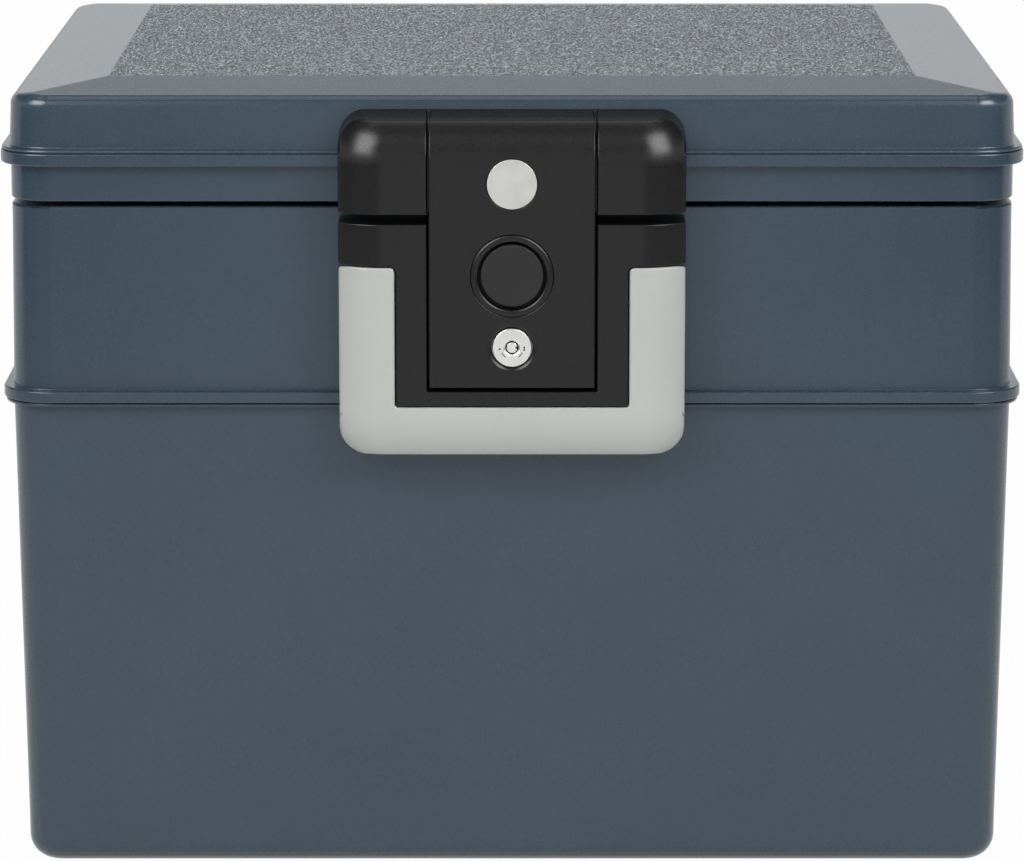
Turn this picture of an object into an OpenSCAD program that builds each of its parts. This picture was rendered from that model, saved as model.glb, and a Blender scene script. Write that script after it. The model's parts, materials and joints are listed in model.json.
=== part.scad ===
// Fire-resistant document chest with a front latch and a fold-out carry handle.
// Millimetres. Origin at the centre of the underside, front towards -Y, +Z up.

/* [Case] */
// Width over the plain walls at the body seam
wall_w = 408; // [396:1:424]
// Depth over the plain walls at the body seam
wall_d = 326; // [316:1:340]
// Height over the closed lid
case_h = 325; // [315:1:340]
// Radius of the upright corners
corner_r = 17; // [14:0.5:20]
// Thickness of the moulded walls
wall_t = 3; // [2.6:0.1:3.4]
// How far the tub wall leans in from its rim to the floor
tub_draft = 2.9; // [1.5:0.1:4]
// How far the collar wall leans in from the seam to its rim
collar_draft = 0.8; // [0.4:0.1:1.2]
// Radius of the bottom edge
bottom_r = 10; // [7:0.5:12]
// Height of the upper shell from the seam to its rim
collar_h = 80.3; // [78:0.1:84]
// Open groove at each seam
seam_gap = 0.3; // [0.2:0.1:0.8]

/* [Ribs at the seams] */
// How far the wide flange of each rib stands out
rib_out = 4; // [3:0.1:5]
// Height of the wide flange
rib_h = 4.9; // [4:0.1:6]
// How far the thin lip of each rib stands out
lip_out = 3.1; // [2.4:0.1:3.6]
// Height of the thin lip
lip_h = 1.3; // [1:0.1:1.8]

/* [Lid] */
// Height of the lid over its lower edge
lid_h = 46.2; // [42:0.2:50]
// Gap between the lid and the body
lid_gap = 2.1; // [1.8:0.1:2.6]
// Height of the lid seam over the lower edge of the lid
lid_seam = 20; // [19:0.2:21]
// Width of the sloping border in plan
bevel_w = 35.8; // [30:0.2:40]
// Rise of the sloping border
bevel_rise = 3.4; // [2.5:0.1:4.5]
// Radius of the top edge
top_edge_r = 4.5; // [3:0.5:5]

/* [Cavity] */
// Thickness of the side walls, from the outside to the document space
side_t = 46.5; // [43:0.5:54]
// Thickness of the front and back walls, from the outside to the document space
front_t = 43; // [40:0.5:48]
// Height of the cavity floor over the underside
cavity_floor = 34; // [28:1:45]
// Corner radius of the cavity
cavity_r = 12; // [8:1:18]
// Thickness of the liner and the lid pan
liner_t = 2.5; // [2:0.1:3]
// How far the ledges for hanging folders stand into the cavity
ledge_out = 8; // [6:0.5:9]
// Height of the sealing tongue over the rim
tongue_h = 5; // [4:0.2:6]
// Thickness of the sealing tongue
tongue_t = 3; // [2.4:0.2:3.4]

/* [Latch] */
// How far the face of the latch stands in front of the wall
latch_out = 25; // [24.6:0.1:26]
// Width of the latch
latch_w = 139.2; // [134:0.2:146]
// Distance of the latch top below the rounded top edge of the lid
latch_below = 0.6; // [0.4:0.1:2.4]
// How far the top of the latch slopes down to its front edge
latch_slope = 2.3; // [1.6:0.1:3]
// Radius of the outer corners of the latch
latch_r = 11; // [8:0.5:13]
// Half-width of the flat part of the latch face
flat_half = 51.5; // [49:0.5:54]
// How far the latch face falls back at its sides, top and foot
face_fall = 8; // [6:0.2:9]
// Width of the hanging centre plate
plate_w = 66.3; // [64:0.1:67]
// Length of the centre plate below the lower edge of the lid
plate_drop = 71.6; // [70:0.2:73]
// Running gap round the centre plate
plate_gap = 1; // [0.7:0.1:1.4]
// Thickness of the latch mouldings
latch_t = 3; // [2.8:0.1:3.2]

/* [Handle] */
// Width of each handle arm
arm_w = 22.6; // [21:0.2:24]
// Height of the grip bar
grip_h = 21; // [18.8:0.2:21.8]
// Thickness of the handle, front to back
handle_t = 14; // [12:0.2:14.4]
// Overall height of the handle
handle_h = 77.8; // [76:0.1:79]
// Depth of the handle pivot behind the face
pivot_in = 4; // [3.6:0.1:4.4]
// Distance of the handle pivot below the top of the arms
pivot_down = 14.5; // [13.5:0.1:14.8]
// Radius of the handle pins
handle_pin_r = 2; // [1.6:0.1:2.2]
// Radius of the inner top corners of the arms
arm_corner_r = 2; // [1:0.1:3]
// Radius of the inner corners between the arms and the grip bar
grip_corner_r = 1.3; // [0.8:0.1:2]

/* [Button and lock] */
// Radius of the push button
button_r = 12.6; // [11.5:0.1:13]
// Outer radius of the ring round the button
bezel_r = 16.7; // [16:0.1:17.2]
// Height of the button below the lower edge of the lid
button_drop = 26; // [25.6:0.1:26.4]
// Stroke of the button
stroke = 3; // [2.6:0.1:3]
// Radius of the lock face
lock_r = 7.75; // [7.4:0.05:8]
// Radius of the dished recess round the lock face
dish_r = 9.5; // [9:0.1:10]
// Height of the lock below the lower edge of the lid
lock_drop = 55.2; // [54.8:0.1:55.8]
// Length of the lock cam from its axis
cam_l = 16.5; // [15:0.5:17]
// Radius of the badge
badge_r = 10; // [8:0.5:11]
// Height of the badge over the lower edge of the lid
badge_up = 11; // [10:0.5:13]

/* [Hinges] */
// Distance from the middle to each hinge
hinge_x = 110; // [90:1:125]
// Width of a hinge
hinge_w = 60; // [56:1:70]
// Distance of the hinge axis behind the wall
hinge_out = 8.3; // [8:0.1:9]
// Radius of a hinge knuckle
knuckle_r = 5; // [4.6:0.1:5.2]
// Radius of a hinge pin
hinge_pin_r = 2.5; // [2:0.1:2.8]

/* [Fits] */
// Radial clearance of a turning or sliding fit
run = 0.06; // [0.04:0.01:0.1]
// Gap between pieces that move past each other
clear = 0.3; // [0.3:0.05:0.4]
// Gap round the insulation
fill_gap = 0.2; // [0.1:0.05:0.4]

/* [Hidden] */
$fn = 96;
eps = 1;
lid_z = case_h - lid_h;
rim_z = lid_z - lid_gap;
seam_z = rim_z - collar_h;
cavity_w = wall_w - 2 * side_t;
cavity_d = wall_d - 2 * front_t;
tub_top = seam_z - seam_gap / 2;
collar_foot = seam_z + seam_gap / 2;
rib_top = collar_foot + rib_h;
spigot_top = rib_top - 0.6;
floor_t = wall_t + 1;
plug_in = 0.6;
plug_r = 16;
plug_head = 3;
plug_x = 80;
land_t = 3;
half_wall = wall_t / 2;
rim_r = 0.8;
wall_seat = wall_t + 1.5;

lid_wall_in = 0.6;
frame_top = lid_z + lid_seam - seam_gap / 2;
frame_rib_foot = frame_top - rib_h - 0.3;
shell_foot = lid_z + lid_seam + seam_gap / 2;
shell_lip_top = shell_foot + lip_h;
shell_draft = 0.8;
bevel_in = 3.5;
bevel_z = case_h - bevel_rise;
corner_slope = 0.13;
roof_in_z = case_h - bevel_rise - wall_t;
plateau_in_z = case_h - wall_t;
spigot_in = 0.1 + shell_draft + wall_t;
frame_seat = spigot_in + half_wall + 0.6;
panel_w = wall_w - 2 * (bevel_w + 2.9);
panel_d = wall_d - 2 * (bevel_w + 2.9);

tongue_in = 8;
channel_play = 2;
flange_out = 18;
pan_out = tongue_in + tongue_t + channel_play + liner_t;
channel_top = lid_z + 7.5;
seal_h = channel_top - (rim_z + tongue_h + clear);

wall_y = wall_d / 2;
face_y = -wall_y - latch_out;
latch_top = bevel_z - top_edge_r - latch_below;
latch_half = latch_w / 2;
curve_x = latch_half - flat_half;
curve_r = (curve_x * curve_x + face_fall * face_fall) / (2 * face_fall);
shoulder_z = lid_z - 1.3;
base_top = shoulder_z - 4;
plate_half = plate_w / 2;
plate_foot = lid_z - plate_drop;
slot_half = plate_half + plate_gap;
slot_foot = plate_foot - 1.6;
skin_y = face_y + latch_t;
recess_y = skin_y + latch_t;
rear_y = -wall_y - 3.5;
keeper_t = 1.5;
keeper_y = rear_y - keeper_t;

arm_gap = 0.5;
band_gap = 0.6;
arm_in = latch_half - arm_w;
frame_half = arm_in - arm_gap;
frame_foot = slot_foot - 5.9;
handle_top = frame_foot + handle_h - grip_h - arm_gap;
handle_foot = handle_top - handle_h;
band_foot = handle_top + band_gap;
pivot_y = face_y + pivot_in;
pivot_z = handle_top - pivot_down;
grip_r = 4;
pin_in_arm = 12;
pin_in_frame = 8;
dome_foot = handle_foot + curve_x;
dome_top = latch_top - latch_slope - curve_x;

button_z = lid_z - button_drop;
bezel_in = button_r + 1.2;
bezel_flange_r = bezel_r + 1.8;
bezel_crown_r = 1.9;
bezel_h = latch_t + 1.4;
guide_r = bezel_flange_r + 0.1;
cap_face = face_y + 0.3;
cap_wall = 2;
cap_flange_y = skin_y + 1 + clear;
cap_flange_t = 1.5;
cap_bore_r = 10;
spring_r = 5;
spring_wire = 0.45;
spring_turns = 4;
cover_y = cap_flange_y + cap_flange_t + stroke + 1.7;
cover_t = 1.5;
cover_back = cover_y + cover_t;
pusher_r = 1.8;
pusher_z = button_z - 7.8;
hook_z = pusher_z + 13;
hook_y = cover_back + 2.9;
hook_t = 2;
hook_half = 6;
hook_pin_r = 1.5;
hook_boss_r = hook_pin_r + 1.1;
hook_foot = pusher_z - 2;
hook_face = hook_y - hook_t / 2;
pusher_end = hook_face - clear;
ear_x = hook_half + 1;
ear_t = 2.5;
striker_z = hook_z + 13.5;
striker_front = keeper_y - 3;
nose_y = striker_front + 2;
nose_top = striker_z - 0.8;

lock_z = lid_z - lock_drop;
lock_face = face_y + 0.4;
barrel_r = lock_r + 1.2;
dish_deep = 1;
mouth_r = 3.35;
mouth_deep = 0.75;
nose_r = 6.9;
keyway_r = 2.6;
keyway_deep = 5.6;
post_r = 2.1;
rotor_end = cover_back + 2.2;
cam_t = 1.5;
cam_half = 3.5;
ledge_z = lock_z + cam_half + 0.4;
ledge_x = 9;
ledge_w = 15;
keeper_half = 26;
ledge_front = cover_back + 1;

axis_y = wall_y + hinge_out;
axis_z = lid_z - 1.1;
knuckle_l = 14;
strap_l = hinge_w - 2 * knuckle_l - 2 * clear;
leaf_t = 3;
leaf_h = 38;
leaf_foot = axis_z - leaf_h;

screw_r = 1.5;
small_r = 1.2;
fine_r = 1;
wall_screw_l = 16;
frame_screw_l = 17;
hinge_screw_l = 13;
keeper_screw_l = 14;
cover_screw_l = 7.5;
plate_screw_l = 4;
cam_screw_l = 5;

// Points of an arc about c, from angle a0 to a1.
function arc(c, r, a0, a1, steps = 6) =
  [for (i = [0:steps]) let (a = a0 + (a1 - a0) * i / steps) [c[0] + r * cos(a), c[1] + r * sin(a)]];

// Sweeps a profile (distance out from the corner axis, height) round a rounded rectangle.
module swept(w, d, r) {
  for (s = [0:3]) {
    across = s % 2 == 0 ? w : d;
    along = s % 2 == 0 ? d : w;
    rotate(90 * s) translate([across / 2 - r, along / 2 - r, 0]) {
      rotate([90, 0, 0]) linear_extrude(along - 2 * r) children();
      rotate_extrude(angle = 90) children();
    }
  }
}

// A rounded-rectangle solid whose wall follows a profile that starts on the corner axis.
module walled_block(w, d, r, profile, z0, z1) {
  union() {
    swept(w, d, r) polygon(profile);
    translate([-w / 2 + r, -d / 2 + r, z0]) cube([w - 2 * r, d - 2 * r, z1 - z0]);
  }
}

// A plain rounded-rectangle block.
module rounded_block(w, d, r, z0, z1) {
  walled_block(w, d, r, [[0, z0], [r, z0], [r, z1], [0, z1]], z0, z1);
}

// A block that follows the cavity plan, grown outwards by out.
module cavity_block(out, z0, z1) {
  rounded_block(cavity_w + 2 * out, cavity_d + 2 * out, cavity_r + out, z0, z1);
}

// A ring that follows the cavity plan between two distances from its wall.
module cavity_ring(in, out, z0, z1) {
  difference() {
    cavity_block(out, z0, z1);
    cavity_block(in, z0 - eps, z1 + eps);
  }
}

module case_block(profile, z0, z1) {
  walled_block(wall_w, wall_d, corner_r, profile, z0, z1);
}

// Extrudes an outline drawn in X and Z from y0 back to y1.
module along_y(y0, y1) {
  translate([0, y1, 0]) rotate([90, 0, 0]) linear_extrude(y1 - y0) children();
}

// Extrudes an outline drawn in Y and Z from x0 to x1.
module along_x(x0, x1) {
  translate([x0, 0, 0]) rotate([90, 0, 90]) linear_extrude(x1 - x0) children();
}

module rod_y(r, y0, y1, z, x = 0) {
  translate([x, y1, z]) rotate([90, 0, 0]) cylinder(r = r, h = y1 - y0);
}

module rod_x(r, x0, x1, y, z) {
  translate([x0, y, z]) rotate([0, 90, 0]) cylinder(r = r, h = x1 - x0);
}

// A conical recess that is wide at the plane y and narrows to its floor.
module dish(wide, narrow, y, deep, z) {
  slope = (wide - narrow) / deep;
  translate([0, y + deep, z]) rotate([90, 0, 0])
    cylinder(r1 = narrow, r2 = wide + slope * eps, h = deep + eps);
}

module box(low, high) {
  translate(low) cube(high - low);
}

module mirrored() {
  children();
  mirror([1, 0, 0]) children();
}

// What a round corner of radius r leaves outside itself, at corner p of a 2D outline.
module corner_waste(p, r, sx, sz) {
  translate([p[0] - sx * r, p[1] - sz * r]) difference() {
    translate([sx > 0 ? 0 : -r - eps, sz > 0 ? 0 : -r - eps]) square(r + eps);
    circle(r);
  }
}

// ---- outer case ----

function tub_foot_x() = corner_r - tub_draft;

function tub_outside() = concat(
  [[0, 0]],
  arc([tub_foot_x() - bottom_r, bottom_r], bottom_r, -90, 0),
  [[corner_r, tub_top - lip_h], [corner_r + lip_out, tub_top - lip_h], [corner_r + lip_out, tub_top],
   [corner_r - half_wall, tub_top], [corner_r - half_wall, spigot_top], [0, spigot_top]]);

function tub_inside(top) = [
  [0, floor_t], [tub_foot_x() - wall_t - bottom_r / 2, floor_t],
  [tub_foot_x() - wall_t, floor_t + bottom_r / 2],
  [corner_r - wall_t, tub_top - lip_h], [corner_r - wall_t, top], [0, top]];

module lower_tub() {
  color("slategray") difference() {
    case_block(tub_outside(), 0, spigot_top);
    case_block(tub_inside(spigot_top + eps), floor_t, spigot_top + eps);
    mirrored() translate([plug_x, 0, -eps]) cylinder(r = plug_r, h = floor_t + 2 * eps);
  }
}

// Plugs pressed into the filling holes of the floor, with a flange inside.
module fill_plugs() {
  color("dimgray") mirrored() translate([plug_x, 0, plug_in]) difference() {
    union() {
      cylinder(r = plug_r, h = floor_t - plug_in + eps);
      translate([0, 0, floor_t - plug_in]) cylinder(r = plug_r + 2, h = plug_head);
    }
    translate([0, 0, -eps]) cylinder(r = plug_r - 5, h = plug_head + eps);
  }
}

function collar_outside() = concat(
  [[0, collar_foot], [corner_r + rib_out - 0.5, collar_foot], [corner_r + rib_out, collar_foot + 0.5],
   [corner_r + rib_out, rib_top - 0.5], [corner_r + rib_out - 0.5, rib_top], [corner_r, rib_top]],
  arc([corner_r - collar_draft - rim_r, rim_z - rim_r], rim_r, 0, 90, 3),
  [[0, rim_z]]);

function collar_inside() = [
  [0, collar_foot - eps], [corner_r - half_wall, collar_foot - eps], [corner_r - half_wall, spigot_top],
  [corner_r - wall_t, spigot_top], [corner_r - wall_t - collar_draft, rim_z - land_t],
  [0, rim_z - land_t]];

// Pads that give each screw head a flat seat inside the front wall of the case.
module seat_pads(places, seat) {
  for (p = places) rod_y(screw_r + 3.5, -wall_y + half_wall, -wall_y + seat, p[1], p[0]);
}

base_screw_at = [[-57, base_top - 9], [57, base_top - 9], [-40.3, frame_foot + 12], [40.3, frame_foot + 12]];
keeper_screw_at = [[-17, button_z - 6], [17, button_z - 6]];
hinge_screw_x = [-hinge_x - hinge_w / 3, -hinge_x + hinge_w / 3, hinge_x - hinge_w / 3, hinge_x + hinge_w / 3];
hinge_screw_z = leaf_foot + 8;
strap_screw_z = frame_rib_foot - 6;

module upper_collar() {
  color("slategray") difference() {
    union() {
      difference() {
        case_block(collar_outside(), collar_foot, rim_z);
        case_block(collar_inside(), collar_foot - eps, rim_z - land_t);
        cavity_block(flange_out, rim_z - land_t - eps, rim_z + eps);
      }
      seat_pads(base_screw_at, wall_seat);
    }
    for (p = concat(base_screw_at, keeper_screw_at))
      rod_y(screw_r, -wall_y - rib_out, -wall_y + 2 * wall_t, p[1], p[0]);
    for (x = hinge_screw_x) rod_y(screw_r, wall_y - 2 * wall_t, wall_y + rib_out, hinge_screw_z, x);
  }
}

module inner_liner() {
  color("darkgray") difference() {
    union() {
      cavity_block(liner_t, cavity_floor - liner_t, rim_z - land_t);
      cavity_block(flange_out, rim_z - land_t, rim_z);
      cavity_ring(tongue_in, tongue_in + tongue_t, rim_z - eps, rim_z + tongue_h);
    }
    difference() {
      cavity_block(0, cavity_floor, rim_z + eps);
      mirrored() folder_ledge();
    }
  }
}

// A ledge along the side wall that carries the hooks of hanging folders.
module folder_ledge() {
  top = rim_z - 12;
  half_l = cavity_d / 2 - cavity_r;
  translate([cavity_w / 2, half_l, 0]) rotate([90, 0, 0]) linear_extrude(2 * half_l)
    polygon([[0, top], [-ledge_out, top], [-ledge_out, top - 3], [0, top - 3 - ledge_out]]);
}

// The space that a screw of the front or back wall needs in the insulation.
module screw_pockets() {
  for (p = concat(base_screw_at, keeper_screw_at)) rod_y(7, -wall_y, -wall_y + 14, p[1], p[0]);
  for (x = hinge_screw_x) rod_y(4, wall_y - 14, wall_y, hinge_screw_z, x);
}

module body_insulation() {
  inset = fill_gap;
  color("gainsboro") difference() {
    case_block([[0, floor_t + inset], [tub_foot_x() - wall_t - bottom_r / 2, floor_t + inset],
      [tub_foot_x() - wall_t - inset, floor_t + inset + bottom_r / 2],
      [corner_r - wall_t - inset, tub_top - lip_h], [corner_r - wall_t - inset, spigot_top],
      [corner_r - wall_t - collar_draft - inset, rim_z - land_t - inset],
      [0, rim_z - land_t - inset]], floor_t + inset, rim_z - land_t - inset);
    cavity_block(liner_t + inset, cavity_floor - liner_t - inset, rim_z);
    mirrored() translate([plug_x, 0, 0]) cylinder(r = plug_r + 3, h = floor_t + plug_head + 1);
    screw_pockets();
  }
}

// ---- lid ----

function shell_outside() = concat(
  [[0, shell_foot], [corner_r + lip_out, shell_foot], [corner_r + lip_out, shell_lip_top],
   [corner_r - 0.1, shell_lip_top]],
  arc([corner_r - 0.1 - shell_draft - top_edge_r, bevel_z - top_edge_r], top_edge_r, 0, 72),
  [[0, bevel_z + corner_slope * corner_r]]);

// Hipped roof: the lower of two sloping sides at every place, cut off flat at the top.
module hipped_roof() {
  hx = wall_w / 2 - bevel_in;
  hy = wall_d / 2 - bevel_in;
  low = shell_foot - eps;
  intersection() {
    along_y(-wall_d, wall_d) polygon([[-wall_w, low], [wall_w, low], [wall_w, bevel_z - 0.2],
      [hx, bevel_z - 0.2], [panel_w / 2, case_h], [-panel_w / 2, case_h], [-hx, bevel_z - 0.2],
      [-wall_w, bevel_z - 0.2]]);
    along_x(-wall_w, wall_w) polygon([[-wall_d, low], [wall_d, low], [wall_d, bevel_z - 0.2],
      [hy, bevel_z - 0.2], [panel_d / 2, case_h], [-panel_d / 2, case_h], [-hy, bevel_z - 0.2],
      [-wall_d, bevel_z - 0.2]]);
  }
}

housing_screw_at = [[-55, lid_z + 7.5], [55, lid_z + 7.5],
  [-55, shell_lip_top + 7.8], [55, shell_lip_top + 7.8]];

function low_screws() = [for (p = housing_screw_at) if (p[1] < frame_top) p];

function high_screws() = [for (p = housing_screw_at) if (p[1] > frame_top) p];

module lid_space(top) {
  wall_x = corner_r - spigot_in;
  case_block([[0, shell_foot - eps], [wall_x, shell_foot - eps], [wall_x, top], [0, top]],
    shell_foot - eps, top);
}

module lid_shell() {
  color("slategray") difference() {
    union() {
      difference() {
        intersection() {
          case_block(shell_outside(), shell_foot, case_h + eps);
          hipped_roof();
        }
        lid_space(roof_in_z);
        rounded_block(panel_w, panel_d, corner_r, roof_in_z - eps, plateau_in_z);
      }
      seat_pads(high_screws(), wall_seat);
    }
    for (p = high_screws()) rod_y(screw_r, -wall_y - rib_out, -wall_y + 2 * wall_t, p[1], p[0]);
  }
}

function frame_outside() = [
  [0, lid_z], [corner_r - lid_wall_in - 0.5, lid_z], [corner_r - lid_wall_in, lid_z + 0.5],
  [corner_r - lid_wall_in, frame_rib_foot], [corner_r + rib_out - 1, frame_rib_foot],
  [corner_r + rib_out - 0.5, frame_rib_foot + 0.5], [corner_r + rib_out - 0.5, frame_top - 0.4],
  [corner_r + rib_out - 0.9, frame_top], [0, frame_top]];

// The frame carries a spigot that centres the shell and closes the seam from inside.
module lid_frame() {
  spigot_x = corner_r - spigot_in;
  color("slategray") difference() {
    union() {
      difference() {
        union() {
          case_block(frame_outside(), lid_z, frame_top);
          case_block([[0, frame_top - eps], [spigot_x, frame_top - eps], [spigot_x, shell_lip_top + 3],
            [0, shell_lip_top + 3]], frame_top - eps, shell_lip_top + 3);
        }
        case_block([[0, lid_z + land_t], [spigot_x - half_wall, lid_z + land_t],
          [spigot_x - half_wall, shell_lip_top + 4], [0, shell_lip_top + 4]],
          lid_z + land_t, shell_lip_top + 4);
        cavity_block(pan_out, lid_z - eps, lid_z + land_t + eps);
      }
      seat_pads(low_screws(), frame_seat);
    }
    for (p = low_screws()) rod_y(screw_r, -wall_y - rib_out, -wall_y + 3 * wall_t, p[1], p[0]);
    for (x = hinge_screw_x) rod_y(screw_r, wall_y - 3 * wall_t, wall_y + rib_out, strap_screw_z, x);
  }
}

// Moulded pan that closes the lid from below, with the channel for the tongue and the seal.
module lid_pan() {
  channel_in = tongue_in - channel_play;
  channel_out = tongue_in + tongue_t + channel_play;
  color("darkgray") difference() {
    union() {
      cavity_block(pan_out, lid_z, lid_z + land_t);
      cavity_ring(channel_in - liner_t, pan_out, lid_z, channel_top + liner_t);
      cavity_ring(pan_out - liner_t, pan_out + 6, lid_z + land_t, lid_z + 2 * land_t);
    }
    cavity_ring(channel_in, channel_out, lid_z - eps, channel_top);
  }
}

module lid_seal() {
  color("black") cavity_ring(tongue_in - channel_play + 0.2, tongue_in + tongue_t + channel_play - 0.2,
    channel_top - seal_h, channel_top);
}

module lid_insulation() {
  inner_x = corner_r - spigot_in - half_wall - fill_gap;
  low = lid_z + 2 * land_t + fill_gap;
  color("gainsboro") difference() {
    union() {
      case_block([[0, low], [inner_x, low], [inner_x, roof_in_z - fill_gap],
        [0, roof_in_z - fill_gap]], low, roof_in_z - fill_gap);
      rounded_block(panel_w - 2 * fill_gap, panel_d - 2 * fill_gap, corner_r, low,
        plateau_in_z - fill_gap);
    }
    cavity_ring(tongue_in - channel_play - liner_t - fill_gap, pan_out + fill_gap, lid_z,
      channel_top + liner_t + fill_gap);
    for (p = housing_screw_at) rod_y(7, -wall_y, -wall_y + 16, p[1], p[0]);
    for (x = hinge_screw_x) rod_y(4, wall_y - 16, wall_y, strap_screw_z, x);
  }
}

// ---- hinges ----

// Everything in front of the outside of the case, drawn in Y and Z, for trimming what sits on the walls.
module front_of_case(gap = 0) {
  ref = -wall_y;
  along_x(-wall_w, wall_w) polygon([
    [0, 0], [ref, 0], [ref, tub_top - lip_h - gap],
    [ref - rib_out - gap, tub_top - lip_h - gap], [ref - rib_out - gap, rib_top + gap],
    [ref, rib_top + gap], [ref + collar_draft, rim_z], [ref + lid_wall_in, lid_z],
    [ref + lid_wall_in, frame_rib_foot - gap], [ref - rib_out - gap, frame_rib_foot - gap],
    [ref - rib_out - gap, shell_lip_top + gap], [ref + 0.1, shell_lip_top + gap],
    [ref + 0.1 + shell_draft, bevel_z - top_edge_r], [ref + 0.1 + shell_draft + 4, case_h], [0, case_h]]);
}

module hinge_bases() {
  color("dimgray") difference() {
    for (cx = [-hinge_x, hinge_x]) translate([cx, 0, 0]) {
      along_x(-hinge_w / 2, hinge_w / 2)
        polygon([[wall_y - 2, leaf_foot], [wall_y + leaf_t, leaf_foot],
          [wall_y + leaf_t, axis_z - knuckle_r - 2], [wall_y - 2, axis_z - knuckle_r - 2]]);
      for (s = [-1, 1]) translate([s * (hinge_w - knuckle_l) / 2, 0, 0]) difference() {
        union() {
          along_x(-knuckle_l / 2, knuckle_l / 2)
            polygon([[wall_y, axis_z - 22], [wall_y + leaf_t, axis_z - 22], [axis_y + knuckle_r, axis_z],
              [axis_y - knuckle_r, axis_z], [wall_y, axis_z - knuckle_r - 2]]);
          rod_x(knuckle_r, -knuckle_l / 2, knuckle_l / 2, axis_y, axis_z);
        }
        rod_x(hinge_pin_r, -knuckle_l, knuckle_l, axis_y, axis_z);
      }
    }
    mirror([0, 1, 0]) front_of_case();
    for (x = hinge_screw_x) rod_y(screw_r + 0.2, wall_y - eps, axis_y, hinge_screw_z, x);
  }
}

module hinge_pins() {
  color("silver") for (cx = [-hinge_x, hinge_x])
    rod_x(hinge_pin_r, cx - hinge_w / 2, cx + hinge_w / 2, axis_y, axis_z);
}

module hinge_straps() {
  leaf_y = wall_y - lid_wall_in;
  leaf_top = frame_rib_foot - 0.3;
  color("dimgray") difference() {
    for (cx = [-hinge_x, hinge_x]) translate([cx, 0, 0]) {
      along_x(-hinge_w / 2, hinge_w / 2)
        polygon([[leaf_y, lid_z + 1], [leaf_y + leaf_t, lid_z + 1], [leaf_y + leaf_t, leaf_top],
          [leaf_y, leaf_top]]);
      along_x(-strap_l / 2, strap_l / 2)
        polygon([[leaf_y, lid_z + 1], [axis_y, axis_z - knuckle_r + 1], [axis_y + knuckle_r, axis_z],
          [axis_y + 3, axis_z + knuckle_r - 1], [leaf_y + leaf_t, leaf_top - 2], [leaf_y, leaf_top - 2]]);
      rod_x(knuckle_r, -strap_l / 2, strap_l / 2, axis_y, axis_z);
    }
    for (cx = [-hinge_x, hinge_x]) {
      rod_x(hinge_pin_r + run, cx - hinge_w, cx + hinge_w, axis_y, axis_z);
      for (s = [-1, 1]) translate([cx + s * (strap_l / 2 + knuckle_l / 2 + clear / 2), 0, 0])
        rod_x(knuckle_r + clear, -knuckle_l / 2 - clear / 2, knuckle_l / 2 + clear, axis_y, axis_z);
    }
    for (x = hinge_screw_x) rod_y(screw_r + 0.2, wall_y - 2, axis_y, strap_screw_z, x);
  }
}

// A pan-head screw along Y: the seat of its head at y, its point towards dir, its head wide x high shank radii.
module screw_y(x, y, z, dir, shank, wide, high, r = screw_r) {
  head_r = wide * r;
  head_h = high * r;
  y_tip = y + dir * shank;
  rod_y(r, min(y, y_tip), max(y, y_tip), z, x);
  y_top = y - dir * head_h;
  difference() {
    rod_y(head_r, min(y, y_top), max(y, y_top), z, x);
    for (a = [0, 90]) translate([x, y_top, z]) rotate([0, a, 0])
      cube([0.45 * head_r * 2.4, head_h, 0.9], center = true);
  }
}

module hinge_base_screws() {
  color("silver") for (x = hinge_screw_x) 
    screw_y(x, wall_y + leaf_t, hinge_screw_z, -1, hinge_screw_l, 2.3, 1.5);
}

module hinge_strap_screws() {
  seat = wall_y - lid_wall_in + leaf_t;
  color("silver") for (x = hinge_screw_x) screw_y(x, seat, strap_screw_z, -1, hinge_screw_l, 1.8, 1.3);
}

// ---- latch base and handle ----

// The domed body of the latch: its face falls back in one curve at the sides, the top and the foot.
module domed_body(inset) {
  r = curve_r - inset;
  axis = face_y + curve_r;
  box([-flat_half, face_y + inset, dome_foot], [flat_half, -wall_y + 6, dome_top]);
  mirrored() translate([flat_half, axis, dome_foot]) cylinder(r = r, h = dome_top - dome_foot);
  for (z = [dome_foot, dome_top]) {
    rod_x(r, -flat_half, flat_half, axis, z);
    mirrored() translate([flat_half, axis, z]) sphere(r);
  }
}

// What the sloping top of the latch and its two round corners leave outside.
module top_waste(inset) {
  translate([0, -wall_y, latch_top - inset]) rotate([atan(latch_slope / (latch_out - face_fall)), 0, 0])
    along_y(-latch_out - 4, 6) {
      translate([-latch_w, 0]) square([2 * latch_w, lid_h]);
      for (s = [-1, 1]) corner_waste([s * (latch_half - inset), 0], latch_r - inset, s, 1);
    }
}

// The outer form of the latch between two heights, or the same form inset on all sides.
module latch_form(z0, z1, top_round, foot_round, inset = 0) {
  half = latch_half - inset;
  difference() {
    intersection() {
      domed_body(inset);
      along_y(face_y - eps, 0) difference() {
        translate([-half, z0]) square([2 * half, z1 - z0]);
        if (foot_round) for (s = [-1, 1]) corner_waste([s * half, z0], latch_r - inset, s, -1);
      }
    }
    if (top_round) top_waste(inset);
  }
}

// A hollow inside the latch form with its open side towards the wall.
module rear_hollow(x0, x1, z0, z1, top_round = false, inset = latch_t) {
  intersection() {
    latch_form(z0, z1, top_round, false, inset);
    box([x0, skin_y - eps, z0 - eps], [x1, 0, z1 + eps]);
  }
}

// Side view of what lies behind the face of the latch, or behind a surface inset from it.
module behind_face(inset) {
  translate([face_y + inset, 0]) square([curve_r - inset, dome_top]);
  translate([face_y + curve_r, dome_top]) circle(curve_r - inset);
}

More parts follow.
